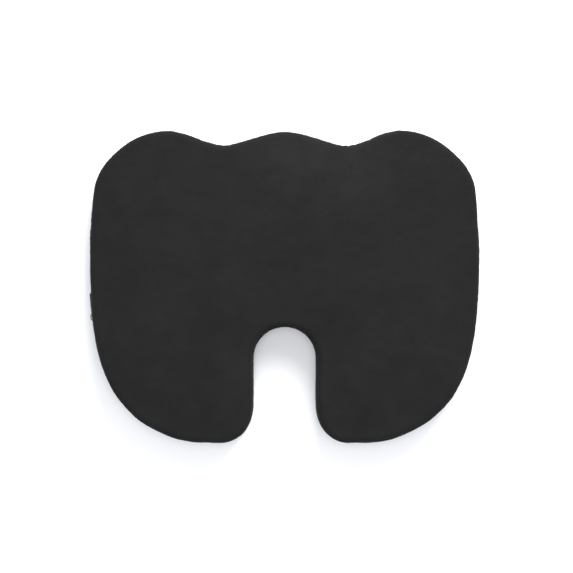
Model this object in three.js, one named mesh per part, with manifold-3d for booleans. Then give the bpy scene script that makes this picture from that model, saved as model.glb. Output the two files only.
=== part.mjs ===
// Coccyx seat cushion: a memory foam core in a knitted liner, inside a zipped velour cover.
// Millimetres, +Z up. The cushion lies on its base at z = 0, with its three-lobed front edge
// towards -Y and its U-shaped cut-out opening towards +Y.

import * as THREE from "three";
import { mergeVertices } from "three/addons/utils/BufferGeometryUtils.js";
import Module from "manifold-3d";

const wasm = await Module();
wasm.setup();

// Driving dimensions
const WIDTH = 450;
const DEPTH = 360;
const HEIGHT = 70;
const EDGE_ROUND = 8;
const GAP = 0.3;

// Outline, right half
const FRONT_Y = -DEPTH / 2;
const REAR_Y = DEPTH / 2;
const POMMEL_Y = -178.5;
const SCALLOP = { x: 71, y: -163 };
const LOBE_X = 136.5;
const SIDE_RADIUS = 700;
const SIDE_CENTRE = { x: WIDTH / 2 - SIDE_RADIUS, y: -28 };
const SIDE_FRONT_ANGLE = THREE.MathUtils.degToRad(-7);
const SIDE_REAR_ANGLE = THREE.MathUtils.degToRad(6.5);
const HEEL = { x: 164, y: 157, slope: THREE.MathUtils.degToRad(31) };
const REAR_FLAT_X = 100;
const MOUTH_X = 74.5;
const MOUTH_Y = 138.5;
const CUTOUT_RADIUS = 37.5;
const CUTOUT_APEX_Y = 46;

// How far each outline curve runs along its end direction before it turns
const EASE = {
  pommel: 24,
  scallop: 18,
  lobeFront: 22,
  lobeSide: 35,
  sideFront: 33,
  sideRear: 36.5,
  heelSide: 41,
  heelRear: 16.5,
  rearFlat: 23.5,
  mouth: 32,
  cutoutWall: 10,
};

// Sitting face: two thigh channels that run out through the front scallops, and a shallow bowl ahead
// of the cut-out
const CHANNEL = { depth: 5, x: 80, spread: 48, startY: 60, fullY: -120 };
const BOWL = { depth: 4, y: 5, spread: 95, widening: 1.5 };

// Fabric layers, counted inwards from the cover's outer face
const VELOUR = 1.6;
const LINER_INSET = 4.6;
const LINER = 0.6;
const FOAM_CLEARANCE = 0.4;
const LAYER_DROP = 0.6;

// Heights
const BASE_PANEL_TOP = 2;
const BASE_PANEL_INSET = 0.5;
const LINER_BASE_LOW = 2.4;
const TOP_SEAM_Z = 54;

// Zip
const ZIP_Z = 26;
const ZIP_OPENING = 11;
const TAPE_WIDTH = 12;
const TAPE_OUTER = 2.0;
const TAPE_THICKNESS = 0.6;
const CHAIN_GAP = 1.2;
const COIL_HEIGHT = 2.2;
const COIL_PROUD = 0.1;
const COIL_INNER = 1.7;
const SLIDER_ANGLE = THREE.MathUtils.degToRad(5.2);

// Outline: the curves of one half, sampled finely where they turn and coarsely where they run straight.

const LONGEST_STEP = 25;
const TURN_STEP = THREE.MathUtils.degToRad(10);

function sideArcEnd(angle) {
  return {
    x: SIDE_CENTRE.x + SIDE_RADIUS * Math.cos(angle),
    y: SIDE_CENTRE.y + SIDE_RADIUS * Math.sin(angle),
    ahead: { x: -Math.sin(angle), y: Math.cos(angle) },
  };
}

function halfOutlineCurves() {
  const front = sideArcEnd(SIDE_FRONT_ANGLE);
  const rear = sideArcEnd(SIDE_REAR_ANGLE);
  const heelAhead = { x: -Math.cos(HEEL.slope), y: Math.sin(HEEL.slope) };
  const cutoutCentreY = CUTOUT_APEX_Y + CUTOUT_RADIUS;
  const path = new THREE.Path();
  path.moveTo(0, POMMEL_Y);
  path.bezierCurveTo(
    EASE.pommel, POMMEL_Y,
    SCALLOP.x - EASE.scallop, SCALLOP.y,
    SCALLOP.x, SCALLOP.y,
  );
  path.bezierCurveTo(
    SCALLOP.x + EASE.scallop, SCALLOP.y,
    LOBE_X - EASE.lobeFront, FRONT_Y,
    LOBE_X, FRONT_Y,
  );
  path.bezierCurveTo(
    LOBE_X + EASE.lobeSide, FRONT_Y,
    front.x - EASE.sideFront * front.ahead.x, front.y - EASE.sideFront * front.ahead.y,
    front.x, front.y,
  );
  path.absarc(SIDE_CENTRE.x, SIDE_CENTRE.y, SIDE_RADIUS, SIDE_FRONT_ANGLE, SIDE_REAR_ANGLE);
  path.bezierCurveTo(
    rear.x + EASE.sideRear * rear.ahead.x, rear.y + EASE.sideRear * rear.ahead.y,
    HEEL.x - EASE.heelSide * heelAhead.x, HEEL.y - EASE.heelSide * heelAhead.y,
    HEEL.x, HEEL.y,
  );
  path.bezierCurveTo(
    HEEL.x + EASE.heelRear * heelAhead.x, HEEL.y + EASE.heelRear * heelAhead.y,
    REAR_FLAT_X + EASE.rearFlat, REAR_Y,
    REAR_FLAT_X, REAR_Y,
  );
  path.lineTo(MOUTH_X, REAR_Y);
  path.bezierCurveTo(
    MOUTH_X - EASE.mouth, REAR_Y,
    CUTOUT_RADIUS, MOUTH_Y + EASE.cutoutWall,
    CUTOUT_RADIUS, MOUTH_Y,
  );
  path.lineTo(CUTOUT_RADIUS, cutoutCentreY);
  path.absarc(0, cutoutCentreY, CUTOUT_RADIUS, 0, -Math.PI / 2, true);
  return path.curves;
}

function stepsAlong(curve) {
  const samples = 24;
  let turn = 0;
  for (let i = 0; i < samples; i++) {
    const here = curve.getTangent(i / samples);
    turn += here.angleTo(curve.getTangent((i + 1) / samples));
  }
  return Math.ceil(Math.max(turn / TURN_STEP, curve.getLength() / LONGEST_STEP));
}

function outlinePoints() {
  const right = [new THREE.Vector2(0, POMMEL_Y)];
  for (const curve of halfOutlineCurves()) {
    const steps = stepsAlong(curve);
    for (let i = 1; i <= steps; i++) right.push(curve.getPointAt(i / steps));
  }
  const left = right.slice(1, -1).reverse().map((point) => new THREE.Vector2(-point.x, point.y));
  return [...right, ...left];
}

// Each outline vertex keeps its outward normal and its station, the distance from the front centre.
function outlineVertices() {
  const points = outlinePoints();
  let station = 0;
  return points.map((point, i) => {
    const before = points[(i + points.length - 1) % points.length];
    const after = points[(i + 1) % points.length];
    if (i > 0) station += point.distanceTo(before);
    const inEdge = point.clone().sub(before).normalize();
    const outEdge = after.clone().sub(point).normalize();
    const along = inEdge.clone().add(outEdge).normalize();
    const miter = 1 / along.dot(outEdge);
    const normal = new THREE.Vector2(along.y, -along.x).multiplyScalar(miter);
    return { point, normal, station };
  });
}

const OUTLINE = outlineVertices();
const LAST = OUTLINE[OUTLINE.length - 1];
const LOOP_LENGTH = LAST.station + LAST.point.distanceTo(OUTLINE[0].point);

function insetPoint(vertex, inset) {
  return vertex.point.clone().addScaledVector(vertex.normal, -inset);
}

// Stations run on past the loop's ends, so that a stretch can cross the front centre.
function vertexAt(station) {
  const wrapped = THREE.MathUtils.euclideanModulo(station, LOOP_LENGTH);
  let i = OUTLINE.length - 1;
  while (OUTLINE[i].station > wrapped) i--;
  const here = OUTLINE[i];
  const next = OUTLINE[(i + 1) % OUTLINE.length];
  const share = (wrapped - here.station) / here.point.distanceTo(next.point);
  return {
    point: here.point.clone().lerp(next.point, share),
    normal: here.normal.clone().lerp(next.normal, share),
  };
}

function stretch(from, to) {
  const vertices = [vertexAt(from)];
  for (const shift of [-LOOP_LENGTH, 0]) {
    for (const vertex of OUTLINE) {
      const station = vertex.station + shift;
      if (station > from + GAP && station < to - GAP) vertices.push(vertex);
    }
  }
  vertices.push(vertexAt(to));
  return vertices;
}

// Solids

// A wall that follows the outline between two stations, from its outer inset to its inner one.
function stripGeometry(from, to, outer, inner, low, high) {
  const vertices = stretch(from, to);
  const outside = vertices.map((vertex) => insetPoint(vertex, outer));
  const inside = vertices.map((vertex) => insetPoint(vertex, inner)).reverse();
  const shape = new THREE.Shape([...outside, ...inside]);
  const geometry = new THREE.ExtrudeGeometry(shape, { depth: high - low, bevelEnabled: false });
  return geometry.translate(0, 0, low);
}

function plateGeometry(inset, low, high) {
  const shape = new THREE.Shape(OUTLINE.map((vertex) => insetPoint(vertex, inset)));
  const geometry = new THREE.ExtrudeGeometry(shape, { depth: high - low, bevelEnabled: false });
  return geometry.translate(0, 0, low);
}

function bell(distance, spread) {
  return Math.exp(-((distance / spread) ** 2));
}

// How far the sitting face lies below its highest level
function contourDrop(x, y) {
  const towardsFront = THREE.MathUtils.smoothstep(-y, -CHANNEL.startY, -CHANNEL.fullY);
  const channels = CHANNEL.depth * towardsFront * bell(Math.abs(x) - CHANNEL.x, CHANNEL.spread);
  const fromBowl = Math.hypot(x / BOWL.widening, y - BOWL.y);
  return channels + BOWL.depth * bell(fromBowl, BOWL.spread);
}

function toSolid(geometry) {
  const bare = geometry.clone();
  bare.deleteAttribute("normal");
  bare.deleteAttribute("uv");
  const merged = mergeVertices(bare, 1e-3);
  return new wasm.Manifold(new wasm.Mesh({
    numProp: 3,
    vertProperties: merged.getAttribute("position").array,
    triVerts: merged.index.array,
  }));
}

function toGeometry(solid) {
  const mesh = solid.getMesh();
  const geometry = new THREE.BufferGeometry();
  geometry.setAttribute("position", new THREE.BufferAttribute(mesh.vertProperties, 3));
  geometry.setIndex(new THREE.BufferAttribute(mesh.triVerts, 1));
  geometry.computeVertexNormals();
  return geometry;
}

function slabAbove(z) {
  const size = 2 * WIDTH;
  return toSolid(new THREE.BoxGeometry(size, size, size).translate(0, 0, z + size / 2));
}

const CELLS_ACROSS = 14;
const CELLS_ALONG = 12;

// Everything under the sitting face when its highest level is at the given height. The grid is the
// same for every layer, so layers that differ only in height keep a constant distance.
function underContour(high) {
  const margin = 20;
  const depth = 2 * HEIGHT;
  const box = new THREE.BoxGeometry(WIDTH + margin, DEPTH + margin, depth, CELLS_ACROSS, CELLS_ALONG, 1);
  const position = box.getAttribute("position");
  for (let i = 0; i < position.count; i++) {
    if (position.getZ(i) < 0) continue;
    position.setZ(i, depth / 2 - contourDrop(position.getX(i), position.getY(i)));
  }
  return toSolid(box.translate(0, 0, high - depth / 2));
}

// A closed block with rounded rims whose upper face follows the contour. The rounding aims a little
// above the face, so that the contour always trims it.
function contouredBlock(inset, low, high, round, rimSteps) {
  const overshoot = 1;
  const shape = new THREE.Shape(OUTLINE.map((vertex) => insetPoint(vertex, inset + round)));
  const block = new THREE.ExtrudeGeometry(shape, {
    depth: high + overshoot - low - 2 * round,
    bevelThickness: round,
    bevelSize: round,
    bevelSegments: rimSteps,
  });
  return toSolid(block.translate(0, 0, low + round)).intersect(underContour(high));
}

// Materials

function matte(color, roughness, metalness = 0) {
  return new THREE.MeshStandardMaterial({ color, roughness, metalness });
}

const velour = matte(0x2d2d2e, 0.95);
const gripFabric = matte(0x262627, 0.9);
const foam = matte(0xe9e2cf, 0.95);
const knit = matte(0xdcdcd8, 0.9);
const tapeFabric = matte(0x1f1f20, 0.85);
const nylon = matte(0x1a1a1b, 0.5);
const labelFabric = matte(0xf1f0ec, 0.7);
const blackedMetal = matte(0x2a2a2c, 0.35, 0.9);

const group = new THREE.Group();

function addPart(parent, name, geometry, material) {
  const mesh = new THREE.Mesh(geometry, material);
  mesh.name = name;
  parent.add(mesh);
}

// Foam core and liner

const LINER_BASE_TOP = LINER_BASE_LOW + LINER;
const FOAM_LOW = LINER_BASE_TOP + FOAM_CLEARANCE;
const FOAM_INSET = LINER_INSET + LINER + GAP;
const LINER_ROUND = EDGE_ROUND - 1.5;
const FOAM_ROUND = EDGE_ROUND - 2;
const LINER_HIGH = HEIGHT - VELOUR - LAYER_DROP;
const FOAM_HIGH = LINER_HIGH - LINER - LAYER_DROP;

function foamCore() {
  return toGeometry(contouredBlock(FOAM_INSET, FOAM_LOW, FOAM_HIGH, FOAM_ROUND, 1));
}

// The shells are cut from blocks that reach below the base, so that only their upper rims are rounded.
function openShell(inset, thickness, high, round, rimSteps, edge) {
  const low = edge - 2 * round;
  const innerRound = round - thickness / 2;
  const outer = contouredBlock(inset, low, high, round, rimSteps);
  const inner = contouredBlock(inset + thickness, low, high - thickness, innerRound, rimSteps);
  return toGeometry(outer.subtract(inner).intersect(slabAbove(edge)));
}

addPart(group, "foam_core", foamCore(), foam);
addPart(group, "liner_top", openShell(LINER_INSET, LINER, LINER_HIGH, LINER_ROUND, 1, FOAM_LOW), knit);
addPart(group, "liner_base", plateGeometry(LINER_INSET, LINER_BASE_LOW, LINER_BASE_TOP), knit);

// Cover: a top panel, side bands and a non-slip base panel, sewn edge to edge

const ZIP_END = OUTLINE.reduce((nearest, vertex) => {
  const end = sideArcEnd(SIDE_REAR_ANGLE);
  const miss = Math.hypot(vertex.point.x - end.x, vertex.point.y - end.y);
  return miss < nearest.miss ? { miss, station: vertex.station } : nearest;
}, { miss: Infinity }).station;
const BAND_LOW = BASE_PANEL_TOP + GAP;
const BAND_HIGH = TOP_SEAM_Z - GAP;
const OPENING_LOW = ZIP_Z - ZIP_OPENING / 2;
const OPENING_HIGH = ZIP_Z + ZIP_OPENING / 2;

function frontBand(low, high) {
  return stripGeometry(-ZIP_END, ZIP_END, 0, VELOUR, low, high);
}

function rearBand() {
  return stripGeometry(ZIP_END + GAP, LOOP_LENGTH - ZIP_END - GAP, 0, VELOUR, BAND_LOW, BAND_HIGH);
}

addPart(group, "cover_top_panel", openShell(0, VELOUR, HEIGHT, EDGE_ROUND, 2, TOP_SEAM_Z), velour);
addPart(group, "cover_band_upper", frontBand(OPENING_HIGH, BAND_HIGH), velour);
addPart(group, "cover_band_lower", frontBand(BAND_LOW, OPENING_LOW), velour);
addPart(group, "cover_band_rear", rearBand(), velour);
addPart(group, "cover_base_panel", plateGeometry(BASE_PANEL_INSET, 0, BASE_PANEL_TOP), gripFabric);

// Zip: tapes and coil rows along the front and both sides, with stops and end patches

const CHAIN_MARGIN = 9;
const CHAIN_END = ZIP_END - CHAIN_MARGIN;
const STOP_LENGTH = 2.5;
const TAPE_INNER = TAPE_OUTER + TAPE_THICKNESS;

function zipRow(side, from, to, outer, inner, nearEdge, height) {
  const near = ZIP_Z + side * nearEdge;
  const far = near + side * height;
  return stripGeometry(from, to, outer, inner, Math.min(near, far), Math.max(near, far));
}

for (const [row, side] of [["upper", 1], ["lower", -1]]) {
  const edge = CHAIN_GAP / 2;
  const tape = zipRow(side, -ZIP_END, ZIP_END, TAPE_OUTER, TAPE_INNER, edge, TAPE_WIDTH);
  const coil = zipRow(side, -CHAIN_END, CHAIN_END, -COIL_PROUD, COIL_INNER, edge, COIL_HEIGHT);
  const stopFrom = CHAIN_END + GAP;
  const stop = zipRow(side, stopFrom, stopFrom + STOP_LENGTH, -GAP, COIL_INNER, edge, COIL_HEIGHT + GAP);
  addPart(group, `zip_tape_${row}`, tape, tapeFabric);
  addPart(group, `zip_coil_${row}`, coil, nylon);
  addPart(group, `zip_top_stop_${row}`, stop, blackedMetal);
}

function bottomStop() {
  const reach = CHAIN_GAP / 2 + COIL_HEIGHT + GAP;
  const from = -CHAIN_END - GAP - STOP_LENGTH;
  return stripGeometry(from, from + STOP_LENGTH, -GAP, COIL_INNER, ZIP_Z - reach, ZIP_Z + reach);
}

addPart(group, "zip_bottom_stop", bottomStop(), blackedMetal);

const TAB_AHEAD = 5;
const TAB_BEHIND = 9;
const TAB_HALF_HEIGHT = 9;
const TAB_PROUD = 1;

function endTab(from, to) {
  return stripGeometry(from, to, -GAP - TAB_PROUD, -GAP, ZIP_Z - TAB_HALF_HEIGHT, ZIP_Z + TAB_HALF_HEIGHT);
}

addPart(group, "zip_end_tab_right", endTab(ZIP_END - TAB_AHEAD, ZIP_END + TAB_BEHIND), velour);
addPart(group, "zip_end_tab_left", endTab(-ZIP_END - TAB_BEHIND, -ZIP_END + TAB_AHEAD), velour);

// Slider: two plates joined by the nose post between the coil rows, flanges outside them and a
// bridge on the outer plate. Its own frame has +X outwards, +Y along the chain to the rear, +Z up.

const SLIDER_HALF_LENGTH = 5;
const SLIDER_HALF_WIDTH = 4.3;
const SLIDER_TAPER = 0.6;
const SLIDER_CORNER = 1.6;
const PLATE = 1;
const OUTER_PLATE_X = 0.5;
const INNER_PLATE_X = -4;
const POST = { width: 0.6, fromY: 1.5, toY: 4.5 };
const FLANGE = { depth: 1.6, fromZ: 3.2, toZ: 3.7, endMargin: 1.5 };
const BRIDGE = { insideX: 2.6, insideY: 2.7, bar: 0.9, leg: 1, width: 2 };
const SLIDER_TOP = OUTER_PLATE_X + PLATE;
const PIVOT_X = SLIDER_TOP + BRIDGE.insideX / 2;

function boxFromTo(low, high) {
  const size = high.map((value, i) => value - low[i]);
  const centre = high.map((value, i) => (value + low[i]) / 2);
  return new THREE.BoxGeometry(...size).translate(...centre);
}

// Shapes drawn in the slider's Y and Z, and given a thickness along X from a lower face.
function facingX(shape, lowX, thickness) {
  const options = { depth: thickness, bevelEnabled: false, curveSegments: 5 };
  const geometry = new THREE.ExtrudeGeometry(shape, options);
  const toYZX = new THREE.Matrix4().set(0, 0, 1, lowX, 1, 0, 0, 0, 0, 1, 0, 0, 0, 0, 0, 1);
  return geometry.applyMatrix4(toYZX);
}

// The plate is widest at its nose, where the two rows part, and narrows to its tail.
function sliderPlateShape() {
  const nose = SLIDER_HALF_WIDTH;
  const tail = SLIDER_HALF_WIDTH - SLIDER_TAPER;
  const end = SLIDER_HALF_LENGTH;
  const corner = SLIDER_CORNER;
  const shape = new THREE.Shape();
  shape.moveTo(-end, -tail + corner);
  shape.quadraticCurveTo(-end, -tail, -end + corner, -tail);
  shape.lineTo(end - corner, -nose);
  shape.quadraticCurveTo(end, -nose, end, -nose + corner);
  shape.lineTo(end, nose - corner);
  shape.quadraticCurveTo(end, nose, end - corner, nose);
  shape.lineTo(-end + corner, tail);
  shape.quadraticCurveTo(-end, tail, -end, tail - corner);
  shape.closePath();
  return shape;
}

function sliderBody() {
  const overlap = 0.2;
  const shape = sliderPlateShape();
  const flangeEnd = SLIDER_HALF_LENGTH - FLANGE.endMargin;
  const reachY = BRIDGE.insideY + BRIDGE.leg;
  const barX = SLIDER_TOP + BRIDGE.insideX;
  let solid = toSolid(facingX(shape, OUTER_PLATE_X, PLATE));
  solid = solid.add(toSolid(facingX(shape, INNER_PLATE_X, PLATE)));
  const post = boxFromTo(
    [INNER_PLATE_X + overlap, POST.fromY, -POST.width / 2],
    [OUTER_PLATE_X + overlap, POST.toY, POST.width / 2],
  );
  solid = solid.add(toSolid(post));
  for (const side of [-1, 1]) {
    const flangeZ = [side * FLANGE.fromZ, side * FLANGE.toZ];
    const flange = boxFromTo(
      [-FLANGE.depth, -flangeEnd, Math.min(...flangeZ)],
      [OUTER_PLATE_X + overlap, flangeEnd, Math.max(...flangeZ)],
    );
    const legY = [side * BRIDGE.insideY, side * reachY];
    const leg = boxFromTo(
      [SLIDER_TOP - overlap, Math.min(...legY), -BRIDGE.width / 2],
      [barX + overlap, Math.max(...legY), BRIDGE.width / 2],
    );
    solid = solid.add(toSolid(flange)).add(toSolid(leg));
  }
  const bar = boxFromTo(
    [barX, -reachY, -BRIDGE.width / 2],
    [barX + BRIDGE.bar, reachY, BRIDGE.width / 2],
  );
  return toGeometry(solid.add(toSolid(bar)));
}

// Pull tab: a flat plate whose slot takes the bridge, so that it turns about the bar at the slot's end.
// The neck runs straight to neckEnd and widens into the grip at gripStart.
const PULL = {
  length: 28,
  thickness: 1.2,
  neck: 3.2,
  neckEnd: -8,
  gripStart: -14,
  grip: 4.2,
  corner: 1,
  slotLength: 5,
  slotHalf: 1.5,
  eyelet: 1.6,
};

function pullTab() {
  const barHalf = PULL.thickness / 2;
  const halfway = (PULL.neckEnd + PULL.gripStart) / 2;
  const gripCentre = PULL.grip - PULL.length;
  const inner = PULL.neck - PULL.corner;
  const shape = new THREE.Shape();
  shape.moveTo(barHalf, -inner);
  shape.lineTo(barHalf, inner);
  shape.quadraticCurveTo(barHalf, PULL.neck, barHalf - PULL.corner, PULL.neck);
  shape.lineTo(PULL.neckEnd, PULL.neck);
  shape.quadraticCurveTo(halfway, PULL.neck, PULL.gripStart, PULL.grip);
  shape.lineTo(gripCentre, PULL.grip);
  shape.absarc(gripCentre, 0, PULL.grip, Math.PI / 2, 1.5 * Math.PI);
  shape.lineTo(PULL.gripStart, -PULL.grip);
  shape.quadraticCurveTo(halfway, -PULL.neck, PULL.neckEnd, -PULL.neck);
  shape.lineTo(barHalf - PULL.corner, -PULL.neck);
  shape.quadraticCurveTo(barHalf, -PULL.neck, barHalf, -inner);
  const slot = new THREE.Path();
  slot.moveTo(-barHalf, -PULL.slotHalf);
  slot.lineTo(-barHalf, PULL.slotHalf);
  slot.lineTo(-barHalf - PULL.slotLength, PULL.slotHalf);
  slot.lineTo(-barHalf - PULL.slotLength, -PULL.slotHalf);
  slot.closePath();
  const eyelet = new THREE.Path();
  eyelet.absarc(gripCentre, 0, PULL.eyelet, 0, 2 * Math.PI, true);
  shape.holes.push(slot, eyelet);
  return facingX(shape, PIVOT_X - barHalf, PULL.thickness);
}

const slider = new THREE.Group();
slider.position.set(
  SIDE_CENTRE.x + SIDE_RADIUS * Math.cos(SLIDER_ANGLE),
  SIDE_CENTRE.y + SIDE_RADIUS * Math.sin(SLIDER_ANGLE),
  ZIP_Z,
);
slider.rotation.z = SLIDER_ANGLE;
group.add(slider);
addPart(slider, "zip_slider_body", sliderBody(), blackedMetal);
addPart(slider, "zip_pull_tab", pullTab(), blackedMetal);

// Care label: blank, sewn inside the left side below the zip

const LABEL = { start: 30, width: 30, thickness: 0.5, low: 6, high: 24 };

function careLabel() {
  const from = LABEL.start - ZIP_END;
  const outer = TAPE_INNER + GAP;
  return stripGeometry(from, from + LABEL.width, outer, outer + LABEL.thickness, LABEL.low, LABEL.high);
}

addPart(group, "care_label", careLabel(), labelFabric);

export default group;
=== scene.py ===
"""Coccyx seat cushion in a matt black velour cover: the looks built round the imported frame.

Metres, in the row frame. The cushion lies on z = 0 with its lobed front edge towards -Y, its
cut-out towards +Y and its sitting face up. The zip runs along the side band at a constant height.
"""

import math
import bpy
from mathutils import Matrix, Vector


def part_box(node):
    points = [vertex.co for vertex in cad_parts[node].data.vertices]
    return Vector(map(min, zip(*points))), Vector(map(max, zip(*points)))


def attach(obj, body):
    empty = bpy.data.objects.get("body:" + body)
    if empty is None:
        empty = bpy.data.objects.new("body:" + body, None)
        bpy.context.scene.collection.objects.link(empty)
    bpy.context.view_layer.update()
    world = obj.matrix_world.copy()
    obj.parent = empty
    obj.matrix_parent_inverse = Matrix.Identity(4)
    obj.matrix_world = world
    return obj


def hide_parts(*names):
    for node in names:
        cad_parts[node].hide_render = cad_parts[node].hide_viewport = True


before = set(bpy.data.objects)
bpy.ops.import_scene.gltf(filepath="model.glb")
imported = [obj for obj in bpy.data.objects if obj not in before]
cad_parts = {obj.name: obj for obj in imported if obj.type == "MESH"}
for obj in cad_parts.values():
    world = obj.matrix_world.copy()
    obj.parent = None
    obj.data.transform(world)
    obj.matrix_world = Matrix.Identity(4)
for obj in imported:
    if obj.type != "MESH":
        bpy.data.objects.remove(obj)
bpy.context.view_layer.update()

from types import SimpleNamespace as Sizes

import bmesh
import bpy
import numpy as np
from mathutils import Matrix, Vector
from mathutils.geometry import delaunay_2d_cdt
from mathutils.kdtree import KDTree

MM = 0.001

# ---- sizes, from the frame

TOP_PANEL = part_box("cover_top_panel")
LOWER_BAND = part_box("cover_band_lower")
UPPER_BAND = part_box("cover_band_upper")

REAR_Y = TOP_PANEL[1].y
FRONT_Y = -REAR_Y
FACE_Z = 70 * MM
SEAM_Z = TOP_PANEL[0].z
OPENING_LOW, OPENING_HIGH = LOWER_BAND[1].z, UPPER_BAND[0].z
ZIP_Z = (OPENING_LOW + OPENING_HIGH) / 2
BASE_SEAM_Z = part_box("cover_base_panel")[1].z
FOAM_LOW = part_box("foam_core")[0].z
LINER_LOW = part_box("liner_top")[0].z

# The outline's right half, as on the CAD part: its named points, then the lengths of the handles that
# ease each stretch into the next
POMMEL = np.array([0, -178.5]) * MM
SCALLOP = np.array([71, -163]) * MM
LOBE = np.array([136.5 * MM, FRONT_Y])
SIDE_RADIUS = 700 * MM
SIDE_CENTRE = np.array([225 * MM - SIDE_RADIUS, -28 * MM])
SIDE_ANGLES = math.radians(-7), math.radians(6.5)
HEEL = np.array([164, 157]) * MM
HEEL_SLOPE = math.radians(31)
REAR_FLAT = np.array([100 * MM, REAR_Y])
MOUTH = np.array([74.5 * MM, REAR_Y])
CUTOUT_RADIUS = 37.5 * MM
CUTOUT_WALL = np.array([CUTOUT_RADIUS, 138.5 * MM])
CUTOUT_TURN = np.array([CUTOUT_RADIUS, 46 * MM + CUTOUT_RADIUS])
EASE = Sizes(
    pommel=24 * MM, scallop=18 * MM, lobe_front=22 * MM, lobe_side=35 * MM, side_front=33 * MM,
    side_rear=36.5 * MM, heel_side=41 * MM, heel_rear=16.5 * MM, rear_flat=23.5 * MM,
    mouth=32 * MM, cutout_wall=10 * MM,
)

# ---- the outline


def bezier(p0, p1, p2, p3, steps=240):
    t = np.linspace(0, 1, steps)[:, None]
    p0, p1, p2, p3 = (np.asarray(p, float) for p in (p0, p1, p2, p3))
    return (1 - t) ** 3 * p0 + 3 * (1 - t) ** 2 * t * p1 + 3 * (1 - t) * t * t * p2 + t**3 * p3


def arc(centre, radius, start, end, steps=240):
    a = np.linspace(start, end, steps)
    return np.c_[centre[0] + radius * np.cos(a), centre[1] + radius * np.sin(a)]


def gaps(points):
    """The distance from each point to the next."""
    return np.linalg.norm(np.diff(points, axis=0), axis=1)


def unit(vectors):
    return vectors / np.linalg.norm(vectors, axis=-1, keepdims=True)


def round_turn(steps):
    """Evenly spaced angles all the way round."""
    return 2 * math.pi * np.arange(steps) / steps


def half_outline():
    """The right half from the front centre to the cut-out's apex, and the length up to the zip's end."""
    side = arc(SIDE_CENTRE, SIDE_RADIUS, *SIDE_ANGLES)
    side_front, side_rear = (np.array([-math.sin(a), math.cos(a)]) for a in SIDE_ANGLES)
    heel = np.array([-math.cos(HEEL_SLOPE), math.sin(HEEL_SLOPE)])
    right, back = np.array([1, 0]), np.array([0, 1])
    to_zip_end = [
        bezier(POMMEL, POMMEL + EASE.pommel * right, SCALLOP - EASE.scallop * right, SCALLOP),
        bezier(SCALLOP, SCALLOP + EASE.scallop * right, LOBE - EASE.lobe_front * right, LOBE),
        bezier(LOBE, LOBE + EASE.lobe_side * right, side[0] - EASE.side_front * side_front, side[0]),
        side,
    ]
    rest = [
        bezier(side[-1], side[-1] + EASE.side_rear * side_rear, HEEL - EASE.heel_side * heel, HEEL),
        bezier(HEEL, HEEL + EASE.heel_rear * heel, REAR_FLAT + EASE.rear_flat * right, REAR_FLAT),
        np.linspace(REAR_FLAT, MOUTH, 40),
        bezier(MOUTH, MOUTH - EASE.mouth * right, CUTOUT_WALL + EASE.cutout_wall * back, CUTOUT_WALL),
        np.linspace(CUTOUT_WALL, CUTOUT_TURN, 40),
        arc((0, CUTOUT_TURN[1]), CUTOUT_RADIUS, 0, -math.pi / 2),
    ]
    return np.vstack(to_zip_end + rest), gaps(np.vstack(to_zip_end)).sum()


def resampled(points, count):
    """Points at even distances along a path, leaving out points that repeat."""
    points = points[np.r_[True, gaps(points) > 1e-9]]
    length = np.r_[0, gaps(points).cumsum()]
    at = np.linspace(0, length[-1], count)
    return np.c_[np.interp(at, length, points[:, 0]), np.interp(at, length, points[:, 1])]


HALF, ZIP_END = half_outline()
HALF_STEPS = 620
_right = resampled(HALF, HALF_STEPS + 1)
LOOP_POINTS = np.vstack([_right, _right[1:-1][::-1] * [-1, 1]])
LOOP_STEP = np.linalg.norm(LOOP_POINTS[1] - LOOP_POINTS[0])
LOOP_COUNT = len(LOOP_POINTS)
LOOP_LENGTH = LOOP_STEP * LOOP_COUNT
_tangent = unit(np.roll(LOOP_POINTS, -2, 0) - np.roll(LOOP_POINTS, 2, 0))
LOOP_NORMALS = np.c_[_tangent[:, 1], -_tangent[:, 0]]


def on_outline(stations):
    """Points and outward normals at distances along the outline from the front centre."""
    at = np.asarray(stations, float) / LOOP_STEP
    low = np.floor(at).astype(int)
    share = (at - low)[..., None]
    here, there = low % LOOP_COUNT, (low + 1) % LOOP_COUNT
    point = LOOP_POINTS[here] * (1 - share) + LOOP_POINTS[there] * share
    normal = LOOP_NORMALS[here] * (1 - share) + LOOP_NORMALS[there] * share
    return point, unit(normal)


def placed(stations, inset, z):
    """Points at an inset from the outline and a height; the three arguments broadcast together."""
    stations, inset, z = np.broadcast_arrays(stations, inset, z)
    point, normal = on_outline(stations)
    flat = point - normal * inset[..., None]
    return np.concatenate([flat, z[..., None]], axis=-1)


# ---- the sitting face


def bell(distance, spread):
    return np.exp(-((distance / spread) ** 2))


def smoothstep(value, low, high):
    t = np.clip((value - low) / (high - low), 0, 1)
    return t * t * (3 - 2 * t)


# Two thigh channels that run out through the front scallops, and a shallow bowl ahead of the cut-out
CHANNEL = Sizes(depth=5 * MM, x=80 * MM, spread=48 * MM, start_y=60 * MM, full_y=-120 * MM)
BOWL = Sizes(depth=4 * MM, y=5 * MM, spread=95 * MM, widening=1.5)


def contour_drop(x, y):
    """How far the sitting face lies below its highest level, as on the CAD part."""
    towards_front = smoothstep(-y, -CHANNEL.start_y, -CHANNEL.full_y)
    channels = CHANNEL.depth * towards_front * bell(np.abs(x) - CHANNEL.x, CHANNEL.spread)
    return channels + BOWL.depth * bell(np.hypot(x / BOWL.widening, y - BOWL.y), BOWL.spread)


def ripple(stations, seed, shortest, longest, waves=24):
    """A smooth wobble along the outline, of unit spread, that closes on itself."""
    rng = np.random.default_rng(seed)
    lengths = rng.uniform(shortest, longest, waves)
    turns = np.round(LOOP_LENGTH / lengths)
    phases = rng.uniform(0, 2 * math.pi, waves)
    angle = 2 * math.pi * np.asarray(stations)[..., None] / LOOP_LENGTH
    return np.sin(angle * turns + phases).sum(-1) * math.sqrt(2 / waves)


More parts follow.
